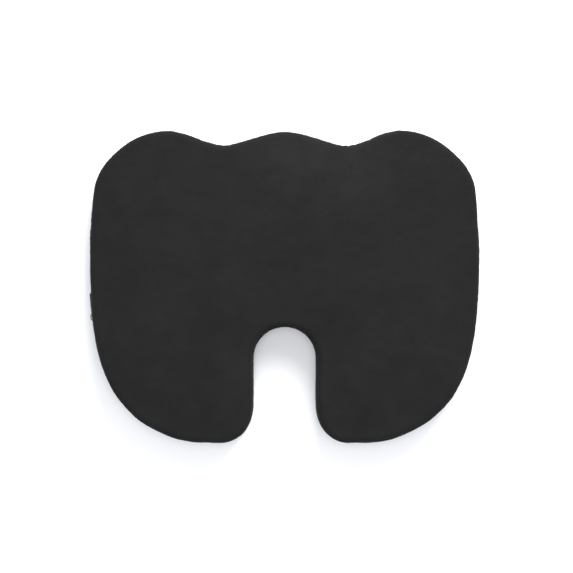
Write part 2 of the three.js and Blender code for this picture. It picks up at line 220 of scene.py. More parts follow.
_turning = np.roll(LOOP_NORMALS, -6, 0) - np.roll(LOOP_NORMALS, 6, 0)
CURVATURE = (_turning * _tangent).sum(1) / (12 * LOOP_STEP)

# Inward curvatures, per metre, where the fabric starts to gather and where it is fully gathered
GATHER_FROM, GATHER_FULL = 4, 22


def gathering(stations):
    """0 where the outline is straight or turns outwards, up to 1 in its tightest inward turns."""
    curvature = np.interp(np.asarray(stations) % LOOP_LENGTH, np.arange(LOOP_COUNT) * LOOP_STEP, CURVATURE)
    return smoothstep(-curvature, GATHER_FROM, GATHER_FULL)


def pucker(stations, z, seam_z, seed):
    """Small pulls along a seam, deeper and longer where the fabric is gathered round an inward turn."""
    depth, reach, most_outwards = 0.26 * MM, 5 * MM, 0.35
    stronger = 1 + 0.8 * gathering(stations)
    near = np.exp(-np.abs(z - seam_z) / (reach * stronger))
    wobble = np.minimum(ripple(stations, seed, 6 * MM, 14 * MM), most_outwards)
    return depth * stronger * wobble * near


# ---- mesh helpers


def linked(name, data):
    """A new object in the scene that shows the data."""
    made = bpy.data.objects.new(name, data)
    bpy.context.scene.collection.objects.link(made)
    return made


def new_object(name, verts, faces):
    mesh = bpy.data.meshes.new(name)
    mesh.from_pydata([tuple(v) for v in np.asarray(verts, float)], [], faces)
    mesh.update()
    return linked(name, mesh)


def from_bmesh(name, work):
    mesh = bpy.data.meshes.new(name)
    work.to_mesh(mesh)
    work.free()
    return linked(name, mesh)


def coordinates(obj):
    co = np.empty(len(obj.data.vertices) * 3)
    obj.data.vertices.foreach_get("co", co)
    return co.reshape(-1, 3)


def set_coordinates(obj, co):
    obj.data.vertices.foreach_set("co", np.asarray(co, float).ravel())
    obj.data.update()


def face_outwards(obj):
    work = bmesh.new()
    work.from_mesh(obj.data)
    bmesh.ops.recalc_face_normals(work, faces=work.faces)
    work.to_mesh(obj.data)
    work.free()
    return obj


def smooth(obj, angle=None):
    obj.data.polygons.foreach_set("use_smooth", [True] * len(obj.data.polygons))
    if angle is not None:
        obj.data.set_sharp_from_angle(angle=math.radians(angle))
    return obj


def apply_modifiers(obj):
    bpy.context.view_layer.update()
    graph = bpy.context.evaluated_depsgraph_get()
    made = bpy.data.meshes.new_from_object(obj.evaluated_get(graph))
    obj.modifiers.clear()
    old, obj.data = obj.data, made
    bpy.data.meshes.remove(old)
    return obj


def grid_faces(rows, columns, close_columns=False):
    """Quads between neighbouring points of a rows by columns grid, numbered row by row."""
    r = np.arange(rows - 1)
    c = np.arange(columns if close_columns else columns - 1)
    r, c = (a.ravel() for a in np.meshgrid(r, c, indexing="ij"))
    c1 = (c + 1) % columns
    quads = np.c_[r * columns + c, r * columns + c1, (r + 1) * columns + c1, (r + 1) * columns + c]
    return quads.tolist()


def tube_of_profile(name, grid):
    """A closed solid whose section is a loop of points, swept along the grid's first axis."""
    rows, columns, _ = grid.shape
    faces = grid_faces(rows, columns, close_columns=True)
    faces += [list(range(columns)), [(rows - 1) * columns + c for c in range(columns)]]
    return smooth(face_outwards(new_object(name, grid.reshape(-1, 3), faces)), 50)


def repeated(faces, points, count):
    """The faces of many copies of a small mesh, whose points follow one another."""
    return [[k * points + i for i in face] for k in range(count) for face in faces]


def crossings(polygon, y):
    """Where a closed outline crosses a line of constant y, from left to right."""
    following = np.roll(polygon, -1, 0)
    over = (polygon[:, 1] > y) != (following[:, 1] > y)
    start, end = polygon[over], following[over]
    share = (y - start[:, 1]) / (end[:, 1] - start[:, 1])
    return np.sort(start[:, 0] + share * (end[:, 0] - start[:, 0]))


def tree_of(points):
    """A search tree of points in space, or of points in a plane at z = 0."""
    tree = KDTree(len(points))
    for i, p in enumerate(points):
        tree.insert((*p, 0)[:3], i)
    tree.balance()
    return tree


def points_within(edge, spacing):
    """A triangular grid of points inside an outline, kept a little clear of its own points."""
    tree = tree_of(edge)
    inside = []
    half_grid, clearance = 0.3, 0.6 * spacing
    for k, y in enumerate(np.arange(edge[:, 1].min(), edge[:, 1].max(), spacing * math.sqrt(3) / 2)):
        at = crossings(edge, y)
        for x in np.arange(-half_grid + (k % 2) * spacing / 2, half_grid, spacing):
            if np.searchsorted(at, x) % 2 == 1 and tree.find((x, y, 0))[2] > clearance:
                inside.append(Vector((x, y)))
    return inside


def filled_skin(name, profile, spacing, every=1):
    """Rings round the outline, one for each inset and height of a profile, joined into a skin whose
    innermost ring is filled by an even triangulation."""
    stations = np.arange(0, LOOP_COUNT, every) * LOOP_STEP
    grid = np.array([placed(stations, d, z) for d, z in profile])
    rings, count, _ = grid.shape
    faces = grid_faces(rings, count, close_columns=True)
    edge, height = grid[-1, :, :2], profile[-1][1]
    points = [Vector(p) for p in edge] + points_within(edge, spacing)
    loop = [(i, (i + 1) % count) for i in range(count)]
    out, _, triangles, origin, _, _ = delaunay_2d_cdt(points, loop, [], 1, 1e-7)
    start = (rings - 1) * count
    index, extra = [], []
    for point, source in zip(out, origin):
        if source and source[0] < count:
            index.append(start + source[0])
        else:
            index.append(rings * count + len(extra))
            extra.append((point.x, point.y, height))
    faces += [[index[i] for i in triangle] for triangle in triangles]
    return new_object(name, np.vstack([grid.reshape(-1, 3), np.array(extra)]), faces)


# ---- the foam, by cloth simulation

# Depths are measured down from the cover's face, insets from its outline
FOAM = Sizes(inset=5.5 * MM, depth=3.4 * MM, round_low=6 * MM, round_high=8 * MM, voxel=5 * MM)


def block_rings(inset, low, high, round_low, round_high):
    """Rings round a block with rounded rims, from its underside's edge to its top's."""
    stations = np.arange(0, LOOP_COUNT, 4) * LOOP_STEP
    quarter = np.linspace(0, math.pi / 2, 7)
    wide, narrow = 1 - np.sin(quarter), 1 - np.cos(quarter)
    profile = [*zip(inset + round_low * wide, low + round_low * narrow)]
    profile += [(inset, z) for z in np.linspace(low + round_low, high - round_high, 12)[1:-1]]
    profile += [*zip(inset + round_high * narrow, high - round_high * wide)]
    return np.array([placed(stations, d, z) for d, z in profile])


def contoured(co, start, full):
    """Points let down to the face's contour: not at all below one height, fully above the other."""
    co[:, 2] -= smoothstep(co[:, 2], start, full) * contour_drop(co[:, 0], co[:, 1])
    return co


def make_foam():
    """The foam core as one closed, evenly meshed body at rest, before it is puffed up."""
    grid = block_rings(FOAM.inset, FOAM_LOW, FACE_Z - FOAM.depth, FOAM.round_low, FOAM.round_high)
    rings, count, _ = grid.shape
    faces = grid_faces(rings, count, close_columns=True)
    faces += [list(range(count))[::-1], [(rings - 1) * count + i for i in range(count)]]
    foam = face_outwards(new_object("foam", grid.reshape(-1, 3), faces))
    bpy.context.view_layer.objects.active = foam
    foam.data.remesh_voxel_size = FOAM.voxel
    bpy.ops.object.voxel_remesh()
    set_coordinates(foam, contoured(coordinates(foam), 34 * MM, 60 * MM))
    return foam


PUFF_CAP = 4.5 * MM
FRAMES = 20


def puff_up(foam):
    """Cloth pressure on the part of the foam's skin above the zip. Returns the points at rest and how
    far each one moved, capped softly."""
    rest = coordinates(foam)
    held = foam.vertex_groups.new(name="held")
    for i, z in enumerate(rest[:, 2]):
        held.add([i], float(1 - smoothstep(z, 44 * MM, 60 * MM)), "REPLACE")
    cloth = foam.modifiers.new("Cloth", "CLOTH")
    settings = cloth.settings
    settings.quality = 6
    settings.mass = 0.3
    settings.tension_stiffness = settings.compression_stiffness = 22
    settings.shear_stiffness = 12
    settings.bending_stiffness = 6
    settings.use_pressure = True
    settings.uniform_pressure_force = 4
    settings.effector_weights.gravity = 0
    settings.vertex_group_mass = "held"
    cloth.point_cache.frame_start, cloth.point_cache.frame_end = 1, FRAMES
    for i in range(1, FRAMES + 1):
        bpy.context.scene.frame_set(i)
    graph = bpy.context.evaluated_depsgraph_get()
    moved = coordinates(foam.evaluated_get(graph)) - rest
    foam.modifiers.clear()
    bpy.context.scene.frame_set(1)
    length = np.linalg.norm(moved, axis=1)
    share = PUFF_CAP * np.tanh(length / PUFF_CAP) / np.maximum(length, 1e-9)
    return rest, moved * share[:, None]


class Puff:
    """The simulated swelling, averaged over a small neighbourhood, for every layer over the foam."""

    def __init__(self, rest, moved, near=18, reach=9 * MM):
        self.moved, self.near, self.reach = moved, near, reach
        self.tree = tree_of(rest)

    def at(self, points):
        out = np.zeros_like(points)
        for i, p in enumerate(points):
            found = self.tree.find_n(p, self.near)
            near = np.array([f[1] for f in found])
            gap = np.array([f[2] for f in found])
            weight = np.exp(-(((gap - gap[0]) / self.reach) ** 2))
            out[i] = (self.moved[near] * weight[:, None]).sum(0) / weight.sum()
        return out


# ---- soft layers over the foam

COVER = Sizes(rounding=8.5 * MM, spacing=3.4 * MM, thickness=1.3 * MM)
LINER = Sizes(inset=4.6 * MM, depth=2.3 * MM, rounding=6.5 * MM, spacing=6 * MM, thickness=0.6 * MM)


def rim_profile(start, inset, high, radius, straight, rounding):
    """Insets and heights from a layer's first ones, up its wall and over its rounded rim."""
    profile = list(start)
    profile += [(inset, z) for z in np.linspace(profile[-1][1], high - radius, straight)[1:]]
    for a in np.linspace(0, math.pi / 2, rounding)[1:]:
        profile.append((inset + radius * (1 - math.cos(a)), high - radius * (1 - math.sin(a))))
    return profile


def layer(name, profile, spacing, puff, shape=None):
    """A layer of the sitting face: rings up the profile, an evenly filled middle, then the
    contour, the swelling and any finer shape of its own."""
    skin = filled_skin(name, profile, spacing)
    co = contoured(coordinates(skin), 52 * MM, 62 * MM)
    co += puff.at(co)
    if shape is not None:
        co = shape(co, len(profile))
    set_coordinates(skin, co)
    return face_outwards(skin)


def thickened(skin, thickness):
    solid = skin.modifiers.new("Thickness", "SOLIDIFY")
    solid.thickness = thickness
    solid.offset = -1
    solid.use_quality_normals = True
    return apply_modifiers(skin)


def seeded_noise(points, seed, size):
    """Smooth noise of unit spread: a few dozen waves in random directions, about size long."""
    rng = np.random.default_rng(seed)
    total = np.zeros(len(points))
    waves = 28
    for _ in range(waves):
        angle = rng.uniform(0, 2 * math.pi)
        turn = 2 * math.pi / (size * rng.uniform(0.7, 1.6))
        direction = turn * np.array([math.cos(angle), math.sin(angle)])
        total += np.sin(points[:, :2] @ direction + rng.uniform(0, 2 * math.pi))
    return total * math.sqrt(2 / waves)


# How a turned-in edge runs, as inset and distance from the seam's plane, from its hidden end outwards
SEAM_CURL = np.array(
    [(3.9, 0.3), (2.6, 0.04), (1.6, 0.04), (1.0, 0.25), (0.55, 0.7), (0.25, 1.35), (0.08, 2.2)]
) * MM
FOLD_CURL = np.array(
    [(1.9, 0.7), (1.55, 0.2), (1.05, 0.0), (0.55, 0.15), (0.2, 0.5), (0.02, 1.1)]
) * MM
TOP_SEAM_SEED = 3


def cover_shape(co, rings):
    """Puckers where the panel is sewn to the bands, and a faint unevenness over the face."""
    stations = np.arange(LOOP_COUNT) * LOOP_STEP
    _, normal = on_outline(stations)
    rim = co[: rings * LOOP_COUNT].reshape(rings, LOOP_COUNT, 3)
    push = pucker(stations, rim[..., 2], SEAM_Z, TOP_SEAM_SEED)
    wobble = 0.25 * MM * ripple(stations, 5, 40 * MM, 120 * MM)
    push += wobble * smoothstep(rim[..., 2], SEAM_Z, 60 * MM)
    rim[..., :2] += push[..., None] * normal
    co[: rings * LOOP_COUNT] = rim.reshape(-1, 3)
    unevenness = 0.16 * MM * seeded_noise(co, 11, 48 * MM) + 0.05 * MM * seeded_noise(co, 12, 17 * MM)
    co[:, 2] += smoothstep(co[:, 2], 60 * MM, 67 * MM) * unevenness
    return co


def make_cover_top(puff):
    curl = [(inset, SEAM_Z + z) for inset, z in SEAM_CURL]
    profile = rim_profile(curl, 0, FACE_Z, COVER.rounding, straight=6, rounding=14)
    top = layer("cover_top", profile, COVER.spacing, puff, cover_shape)
    return smooth(thickened(top, COVER.thickness), 60)


def make_liner_top(puff):
    foot, top = [(LINER.inset, LINER_LOW)], FACE_Z - LINER.depth
    profile = rim_profile(foot, LINER.inset, top, LINER.rounding, straight=14, rounding=8)
    return smooth(thickened(layer("liner", profile, LINER.spacing, puff), LINER.thickness), 60)


# ---- side bands

BAND = Sizes(spacing=1.4 * MM, inner_inset=2.3 * MM, inner_margin=1.2 * MM, rear_gap=0.15 * MM)


def band_profile(low, high, curl_low, curl_high, bulge):
    """A closed section of insets and heights: the outer face with its turned-in edges, then the inner."""
    mid, half = (low + high) / 2, (high - low) / 2
    outer = [(d, low + z) for d, z in curl_low]
    for z in np.linspace(outer[-1][1], high - curl_high[-1][1], 28)[1:-1]:
        outer.append((-bulge * (1 - ((z - mid) / half) ** 2), z))
    outer += [(d, high - z) for d, z in reversed(curl_high)]
    inner = np.linspace(high - BAND.inner_margin, low + BAND.inner_margin, 5)
    return np.array(outer + [(BAND.inner_inset, z) for z in inner])


def make_band(name, run, heights, curls, bulge, seed):
    """A side band between two stations, with seam puckers, a slow wobble and slanting drag waves."""
    (start, stop), (low, high) = run, heights
    count = int((stop - start) / BAND.spacing)
    along = np.linspace(start, stop, count)[:, None]
    section = band_profile(low, high, *curls, bulge)
    inset, z = section[:, 0][None], section[:, 1][None]
    outer = (inset < 1 * MM).astype(float)
    touching = 2 * MM
    push = pucker(along, z, SEAM_Z, TOP_SEAM_SEED) * (high > SEAM_Z - touching)
    push = push + pucker(along, z, BASE_SEAM_Z, seed + 1) * (low < BASE_SEAM_Z + touching)
    calm = smoothstep(np.minimum(np.abs(z - OPENING_LOW), np.abs(z - OPENING_HIGH)), 1 * MM, 7 * MM)
    push = push + 0.26 * MM * calm * ripple(along, seed, 45 * MM, 140 * MM)
    drag = along + 0.9 * (z - low) * ripple(along, seed + 5, 150 * MM, 300 * MM)
    push = push + 0.22 * MM * calm * np.minimum(ripple(drag, seed + 7, 14 * MM, 36 * MM), 0.4)
    grid = placed(along, inset - push * outer, np.broadcast_to(z, (count, len(section))))
    return tube_of_profile(name, grid)


def make_bands():
    rear_start = ZIP_END + BAND.rear_gap
    front, rear = (-ZIP_END, ZIP_END), (rear_start, LOOP_LENGTH - rear_start)
    upper, lower, whole = (OPENING_HIGH, SEAM_Z), (BASE_SEAM_Z, OPENING_LOW), (BASE_SEAM_Z, SEAM_Z)
    return [
        make_band("cover_side_upper", front, upper, (FOLD_CURL, SEAM_CURL), 0.9 * MM, 21),
        make_band("cover_side_lower", front, lower, (SEAM_CURL, FOLD_CURL), 0.7 * MM, 22),
        make_band("cover_side_rear", rear, whole, (SEAM_CURL, SEAM_CURL), 1.3 * MM, 23),
    ]


# ---- base panel and its grip dots

BASE_UNDERSIDE = 0.7 * MM
DOT_RADIUS = 1.6 * MM
DOT_PITCH = 9 * MM
DOT_MARGIN = 9 * MM


def make_base():
    upper_turn = (3.0, 0.1), (1.8, 0.0), (1.1, 0.15), (0.75, 0.45)
    lower_turn = (0.75, 0.4), (1.1, 0.12), (1.8, 0.0), (5.0, 0.0), (9.0, 0.0)
    profile = [(d * MM, BASE_SEAM_Z - z * MM) for d, z in upper_turn]
    profile += [(d * MM, BASE_UNDERSIDE + z * MM) for d, z in lower_turn]
    skin = filled_skin("cover_base", profile, 7 * MM, every=2)
    return smooth(thickened(face_outwards(skin), 0.6 * MM), 50)


def inside_cushion(x, y, margin):
    """Whether a point lies inside the outline, at least a margin from it."""
    if (crossings(LOOP_POINTS, y) > x).sum() % 2 == 0:
        return False
    return np.hypot(*(LOOP_POINTS - (x, y)).T).min() > margin


def dome(sides=10):
    """One grip dot hanging from z = 0 by a flange in the fabric: its points and its faces."""
    rings = (1.0, 0.25), (0.97, 0.0), (0.8, -0.62), (0.45, -0.93)
    around = round_turn(sides)
    ring = np.c_[np.cos(around), np.sin(around), np.ones(sides)]
    points = [ring * (DOT_RADIUS * share, DOT_RADIUS * share, BASE_UNDERSIDE * drop) for share, drop in rings]
    points = np.vstack([*points, [(0, 0, -BASE_UNDERSIDE)]])
    faces = [list(range(sides))] + grid_faces(len(rings), sides, close_columns=True)
    last, tip = (len(rings) - 1) * sides, len(rings) * sides
    return points, faces + [[last + (i + 1) % sides, last + i, tip] for i in range(sides)]


def make_grip_dots():
    """Low rubber domes in staggered rows under the base, from the fabric down to the floor."""
    points, faces = dome()
    dots = []
    for k, y in enumerate(np.arange(FRONT_Y + 10 * MM, REAR_Y, DOT_PITCH * math.sqrt(3) / 2)):
        for x in np.arange(-24, 25) * DOT_PITCH + (k % 2) * DOT_PITCH / 2:
            if inside_cushion(x, y, DOT_MARGIN):
                dots.append(points + (x, y, BASE_UNDERSIDE))
    made = new_object("grip_dots", np.vstack(dots), repeated(faces, len(points), len(dots)))
    return smooth(face_outwards(made), 50)


# ---- zip: tapes, coils, stops, stitches

CHAIN_END = ZIP_END - 9 * MM
TAPE = Sizes(edge=0.36 * MM, width=12 * MM, spacing=2.5 * MM)
# A coil row's helix: its nearest height above or below the chain's middle, its inset, and its radii
COIL = Sizes(pitch=1.45 * MM, wire=0.34 * MM, near=0.69 * MM, inset=0.8 * MM, tall=0.95 * MM, flat=0.55 * MM)


def make_tape(row, side):
    """A woven tape behind the bands: thin, with a thicker corded edge under the coil."""
    far = (TAPE.width - TAPE.edge) / MM
    outer = [(2.05, 0.1), (1.95, 0.4), (2.0, 1.2), (2.1, 3.2), (2.1, 6.0), (2.1, 11.7), (2.2, far)]
    inner = [(2.5, far), (2.6, 11.0), (2.6, 6.0), (2.6, 1.0), (2.5, 0.2), (2.3, 0.0)]
    section = np.array(outer + inner) * MM
    count = int(2 * ZIP_END / TAPE.spacing)
    stations = np.linspace(-ZIP_END, ZIP_END, count)[:, None]
    height = TAPE.edge + section[:, 1] * (TAPE.width - TAPE.edge) / TAPE.width
    grid = placed(stations, section[:, 0][None], (ZIP_Z + side * height)[None])
    return tube_of_profile(f"zip_tape_{row}_woven", grid)


def circle_across(tangent, sideways, radius, sides):
    """At each point of a path, a circle of points across it; sideways mustn't lie along the path."""
    tangent = unit(tangent)
    across = unit(np.cross(tangent, sideways))
    level = np.cross(across, tangent)
    a = round_turn(sides)[None, :, None]
    return radius * (level[:, None] * np.cos(a) + across[:, None] * np.sin(a))


def make_coil(row, side):
    """One row of the chain: a single filament wound as a flattened helix."""
    turns = int(2 * CHAIN_END / COIL.pitch)
    per_turn = 12
    lead = 0.0 if side > 0 else math.pi
    angle = 2 * math.pi * np.arange(turns * per_turn + 1) / per_turn + lead
    stations = np.linspace(-CHAIN_END, CHAIN_END, len(angle))
    height = COIL.near + COIL.tall * (1 - np.cos(angle))
    path = placed(stations, COIL.inset - COIL.flat * np.sin(angle), ZIP_Z + side * height)
    _, normal = on_outline(stations)
    along = np.c_[-normal[:, 1], normal[:, 0], np.zeros(len(path))]
    ring = circle_across(np.gradient(path, axis=0), along, COIL.wire, 6)
    return tube_of_profile(f"zip_coil_{row}_teeth", path[:, None] + ring)


STITCH = Sizes(length=2.7 * MM, gap=0.8 * MM, from_fold=2.6 * MM, sides=6, steps=7)


def stitch_line(starts, ends, normal, radius):
    """Points in rings round each stitch of a line, which bows outwards and narrows to its ends."""
    out = np.c_[normal, np.zeros(len(normal))]
    t = np.linspace(0, 1, STITCH.steps)[None, :, None]
    along = ends - starts
    third = np.cross(unit(along), out)
    bow = radius * 1.3 * np.sin(math.pi * t)
    centre = starts[:, None] + along[:, None] * t + out[:, None] * bow
    size = radius * np.sqrt(np.maximum(0.06, 1 - (2 * t - 1) ** 4))
    a = round_turn(STITCH.sides)[:, None]
    ring = np.cos(a) * out[:, None] + np.sin(a) * third[:, None]
    return centre[:, :, None] + size[..., None] * ring[:, None]


def sewn(name, lines):
    """All the stitches of some lines as one object of closed solids."""
    stitches = np.concatenate(lines)
    points = STITCH.steps * STITCH.sides
    faces = grid_faces(STITCH.steps, STITCH.sides, close_columns=True)
    faces += [list(range(STITCH.sides))[::-1], list(range(points - STITCH.sides, points))]
    made = new_object(name, stitches.reshape(-1, 3), repeated(faces, points, len(stitches)))
    return smooth(face_outwards(made), 60)


def make_zip_stitches():
    """The two rows of stitching that hold the folded bands to the tapes."""
    begin = np.arange(-ZIP_END + 8 * MM, ZIP_END - 8 * MM, STITCH.length + STITCH.gap)
    _, normal = on_outline(begin + STITCH.length / 2)
    lines = []
    upper, lower = OPENING_HIGH + STITCH.from_fold, OPENING_LOW - STITCH.from_fold
    for z, bulge in ((upper, 0.35 * MM), (lower, 0.3 * MM)):
        starts, ends = placed(begin, -bulge, z), placed(begin + STITCH.length, -bulge, z)
        lines.append(stitch_line(starts, ends, normal, 0.24 * MM))
    return sewn("zip_stitches", lines)


TAB_FROM, TAB_TO = ZIP_END - 5 * MM, ZIP_END + 9 * MM
TAB_HALF_HEIGHT = 9 * MM


def make_end_tab(name, start, stop):
    """A folded patch over the tape ends, with softly rounded edges all round."""
    columns, rows = 22, 26
    s = np.linspace(-1, 1, columns)[:, None]
    t = np.linspace(-1, 1, rows)[None]
    rim = 0.12
    rise = np.clip((1 - np.maximum(np.abs(s), np.abs(t))) / rim, 0, 1)
    rise = np.sqrt(1 - (1 - rise) ** 2)
    outer = -(0.35 * MM + 0.95 * MM * rise + 0.25 * MM * (1 - s**2) * (1 - t**2))
    stations = (start + stop) / 2 + s * (stop - start) / 2
    z = ZIP_Z + TAB_HALF_HEIGHT * t
    front, back = placed(stations, outer, z), placed(stations, -0.3 * MM, z)
    verts = np.vstack([front.reshape(-1, 3), back.reshape(-1, 3)])
    shift = columns * rows
    faces = grid_faces(columns, rows)
    faces += [[shift + i for i in quad[::-1]] for quad in faces]
    at = np.arange(shift).reshape(columns, rows)
    border = np.concatenate([at[:, 0], at[-1, 1:], at[-2::-1, -1], at[0, -2:0:-1]]).tolist()
    faces += [[a, b, shift + b, shift + a] for a, b in zip(border, border[1:] + border[:1])]
    return smooth(face_outwards(new_object(name, verts, faces)), 60)


def make_tab_stitches():
    """A box of stitching round each end patch."""
    margin, pitch, bulge = 2 * MM, STITCH.length * 0.8 + STITCH.gap, 1.42 * MM
    low, high = ZIP_Z - TAB_HALF_HEIGHT + margin, ZIP_Z + TAB_HALF_HEIGHT - margin
    lines = []
    for sign in (1, -1):
        near, far = sign * (TAB_FROM + margin), sign * (TAB_TO - margin)
        corners = [(near, low), (far, low), (far, high), (near, high)]
        for (s0, z0), (s1, z1) in zip(corners, corners[1:] + corners[:1]):
            count = round(math.hypot(s1 - s0, z1 - z0) / pitch)
            begin, middle, end = ((np.arange(count) + share) / count for share in (0.12, 0.5, 0.88))
            starts, ends = (placed(s0 + (s1 - s0) * u, -bulge, z0 + (z1 - z0) * u) for u in (begin, end))
            _, normal = on_outline(s0 + (s1 - s0) * middle)
            lines.append(stitch_line(starts, ends, normal, 0.22 * MM))
    return sewn("zip_tab_stitches", lines)


# ---- slider and pull

# Their own frame has +X outwards, +Y along the chain to the rear and +Z up.
SLIDER_ANGLE = math.radians(5.2)
SLIDER_AT = SIDE_CENTRE + SIDE_RADIUS * np.array([math.cos(SLIDER_ANGLE), math.sin(SLIDER_ANGLE)])
SLIDER_PLACE = Matrix.Translation((*SLIDER_AT, ZIP_Z)) @ Matrix.Rotation(SLIDER_ANGLE, 4, "Z")


def rounded_polygon(corners, steps=5):
    """Points round a polygon whose corners, given as (y, z, radius), are rounded off."""
    points = []
    count = len(corners)
    for i, (y, z, radius) in enumerate(corners):
        here = np.array([y, z])
        before = np.array(corners[i - 1][:2]) - here
        after = np.array(corners[(i + 1) % count][:2]) - here
        before, after = unit(before), unit(after)
        half = math.acos(np.clip(before @ after, -1, 1)) / 2
        reach = radius / math.tan(half)
        start, end = here + before * reach, here + after * reach
        for t in np.linspace(0, 1, steps):
            points.append((1 - t) ** 2 * start + 2 * t * (1 - t) * here + t * t * end)
    return [tuple(p) for p in points]


def rounded_box(y, z, radius, steps=5):
    """A rounded rectangle between two values of Y and two of Z."""
    corners = [(y[0], z[0]), (y[1], z[0]), (y[1], z[1]), (y[0], z[1])]
    return rounded_polygon([(*corner, radius) for corner in corners], steps)


def plate(outline, low, high, holes=()):
    """A plate: an outline in Y and Z with holes, between two heights along X."""
    work = bmesh.new()
    edges = []
    for loop in [outline, *holes]:
        ring = [work.verts.new((low, y, z)) for y, z in loop]
        edges += [work.edges.new((ring[i - 1], ring[i])) for i in range(len(ring))]
    filled = bmesh.ops.triangle_fill(work, use_beauty=True, use_dissolve=True, edges=edges)
    faces = [g for g in filled["geom"] if isinstance(g, bmesh.types.BMFace)]
    grown = bmesh.ops.extrude_face_region(work, geom=faces)
    moved = [g for g in grown["geom"] if isinstance(g, bmesh.types.BMVert)]
    bmesh.ops.translate(work, verts=moved, vec=(high - low, 0, 0))
    bmesh.ops.recalc_face_normals(work, faces=work.faces)
    return from_bmesh("plate", work)


def bevelled(made, width, segments=3, angle=35):
    bevel = made.modifiers.new("Edges", "BEVEL")
    bevel.width, bevel.segments, bevel.limit_method = width, segments, "ANGLE"
    bevel.angle_limit = math.radians(angle)
    return apply_modifiers(made)


def in_place(name, parts):
    """The parts as one object, moved from the slider's own frame to its place on the chain."""
    work = bmesh.new()
    for part in parts:
        work.from_mesh(part.data)
        bpy.data.objects.remove(part)
    made = from_bmesh(name, work)
    made.data.transform(SLIDER_PLACE)
    return smooth(made, 40)


def make_slider():
    """Plates in front of and behind the chain, the post that parts its rows, two lips and the bow."""
    nose, tail, end, corner = 4.2 * MM, 3.5 * MM, 5 * MM, 1.8 * MM
    ends = [(-end, -tail), (end, -nose), (end, nose), (-end, tail)]
    outline = rounded_polygon([(y, z, corner) for y, z in ends])
    post = rounded_box((1.5 * MM, 4.5 * MM), (-0.3 * MM, 0.3 * MM), 0.1 * MM)
    parts = [
        bevelled(plate(outline, 0.5 * MM, 1.5 * MM), 0.35 * MM),
        bevelled(plate(outline, -4.0 * MM, -3.0 * MM), 0.3 * MM),
        bevelled(plate(post, -3.1 * MM, 0.6 * MM), 0.05 * MM, 1),
    ]
    for side in (-1, 1):
        across = sorted((side * 3.15 * MM, side * 3.75 * MM))
        lip = rounded_box((-3.4 * MM, 3.4 * MM), across, 0.15 * MM, 3)
        parts.append(bevelled(plate(lip, -1.5 * MM, 0.7 * MM), 0.1 * MM, 2))
    return in_place("zip_slider", parts + [make_bridge()])


def arch(low, reach, top, corner):
    """An arch with cut corners, from its left foot to its right one, as pairs of Y and X."""
    right = [(reach - corner, top), (reach, top - corner), (reach, low)]
    return [(-y, x) for y, x in reversed(right)] + right


def make_bridge():
    """The bow over the outer plate that carries the pull."""
    low, reach, top, leg, bar, half = 1.3 * MM, 3.7 * MM, 5.0 * MM, 1.0 * MM, 0.9 * MM, 1 * MM
    outer, inner = arch(low, reach, top, 1.2 * MM), arch(low, reach - leg, top - bar, 0.8 * MM)
    corners = [[(*a, -half), (*a, half), (*b, half), (*b, -half)] for a, b in zip(outer, inner)]
    return bevelled(tube_of_profile("bow", np.array(corners)[..., [1, 0, 2]]), 0.22 * MM, 3, 20)


def make_pull():
    """The pull tab: slotted where it takes the bow, ribbed on its grip, with an eyelet at its tip."""
    pivot_x, bar, tip, neck, grip = 2.8 * MM, 0.6 * MM, -28 * MM, 3.2 * MM, 4.2 * MM
    under, face = pivot_x - bar, pivot_x + bar
    upper = [(bar, neck, 0.8 * MM), (-9 * MM, neck, 3 * MM), (-13 * MM, grip, 3 * MM), (tip, grip, 3.9 * MM)]
    corners = [(bar, -neck, 0.8 * MM)] + upper + [(y, -z, radius) for y, z, radius in upper[:0:-1]]
    slot_half, slot_end = 1.5 * MM, -bar - 5 * MM
    slot = [(-bar, -slot_half, 0.3 * MM), (-bar, slot_half, 0.3 * MM)]
    slot += [(slot_end, slot_half, 1 * MM), (slot_end, -slot_half, 1 * MM)]
    eyelet = arc((tip + grip, 0), 1.6 * MM, 0, 2 * math.pi, 21)[:-1]
    tab = plate(rounded_polygon(corners), under, face, [rounded_polygon(slot), eyelet])
    parts = [bevelled(tab, 0.28 * MM)]
    half, length, ridge_pitch = 0.35 * MM, 2.9 * MM, 1.7 * MM
    for k in range(5):
        y = -13.5 * MM - k * ridge_pitch
        ridge = rounded_box((y - half, y + half), (-length, length), 0.3 * MM, 3)
        parts.append(bevelled(plate(ridge, face - 0.1 * MM, face + 0.2 * MM), 0.12 * MM, 2))
    return in_place("zip_pull", parts)


def make_stop(name, start, stop, low, high):
    """A metal stop crimped over the chain's end."""
    rows, sides = 9, 20
    middle, half_thickness = 0.7 * MM, 0.98 * MM
    t = np.linspace(0, 1, rows)[:, None]
    a = round_turn(sides)[None]
    taper = np.sqrt(np.clip(1 - (2 * t - 1) ** 6, 0.35, 1))
    square = 1 / (np.abs(np.cos(a)) ** 5 + np.abs(np.sin(a)) ** 5) ** 0.2
    inset = middle - half_thickness * square * np.cos(a) * taper
    z = (low + high) / 2 + (high - low) / 2 * square * np.sin(a) * taper
    return tube_of_profile(name, placed(start + (stop - start) * t, inset, z))


def make_stops():
    near, far = CHAIN_END + 0.3 * MM, CHAIN_END + 2.8 * MM
    edge, reach = 0.6 * MM, 3.1 * MM
    return [
        (make_stop("zip_top_stop_upper_crimp", near, far, ZIP_Z + edge, ZIP_Z + reach), "zip_top_stop_upper"),
        (make_stop("zip_top_stop_lower_crimp", near, far, ZIP_Z - reach, ZIP_Z - edge), "zip_top_stop_lower"),
        (make_stop("zip_bottom_stop_crimp", -far, -near, ZIP_Z - reach, ZIP_Z + reach), "zip_bottom_stop"),
    ]


# ---- materials


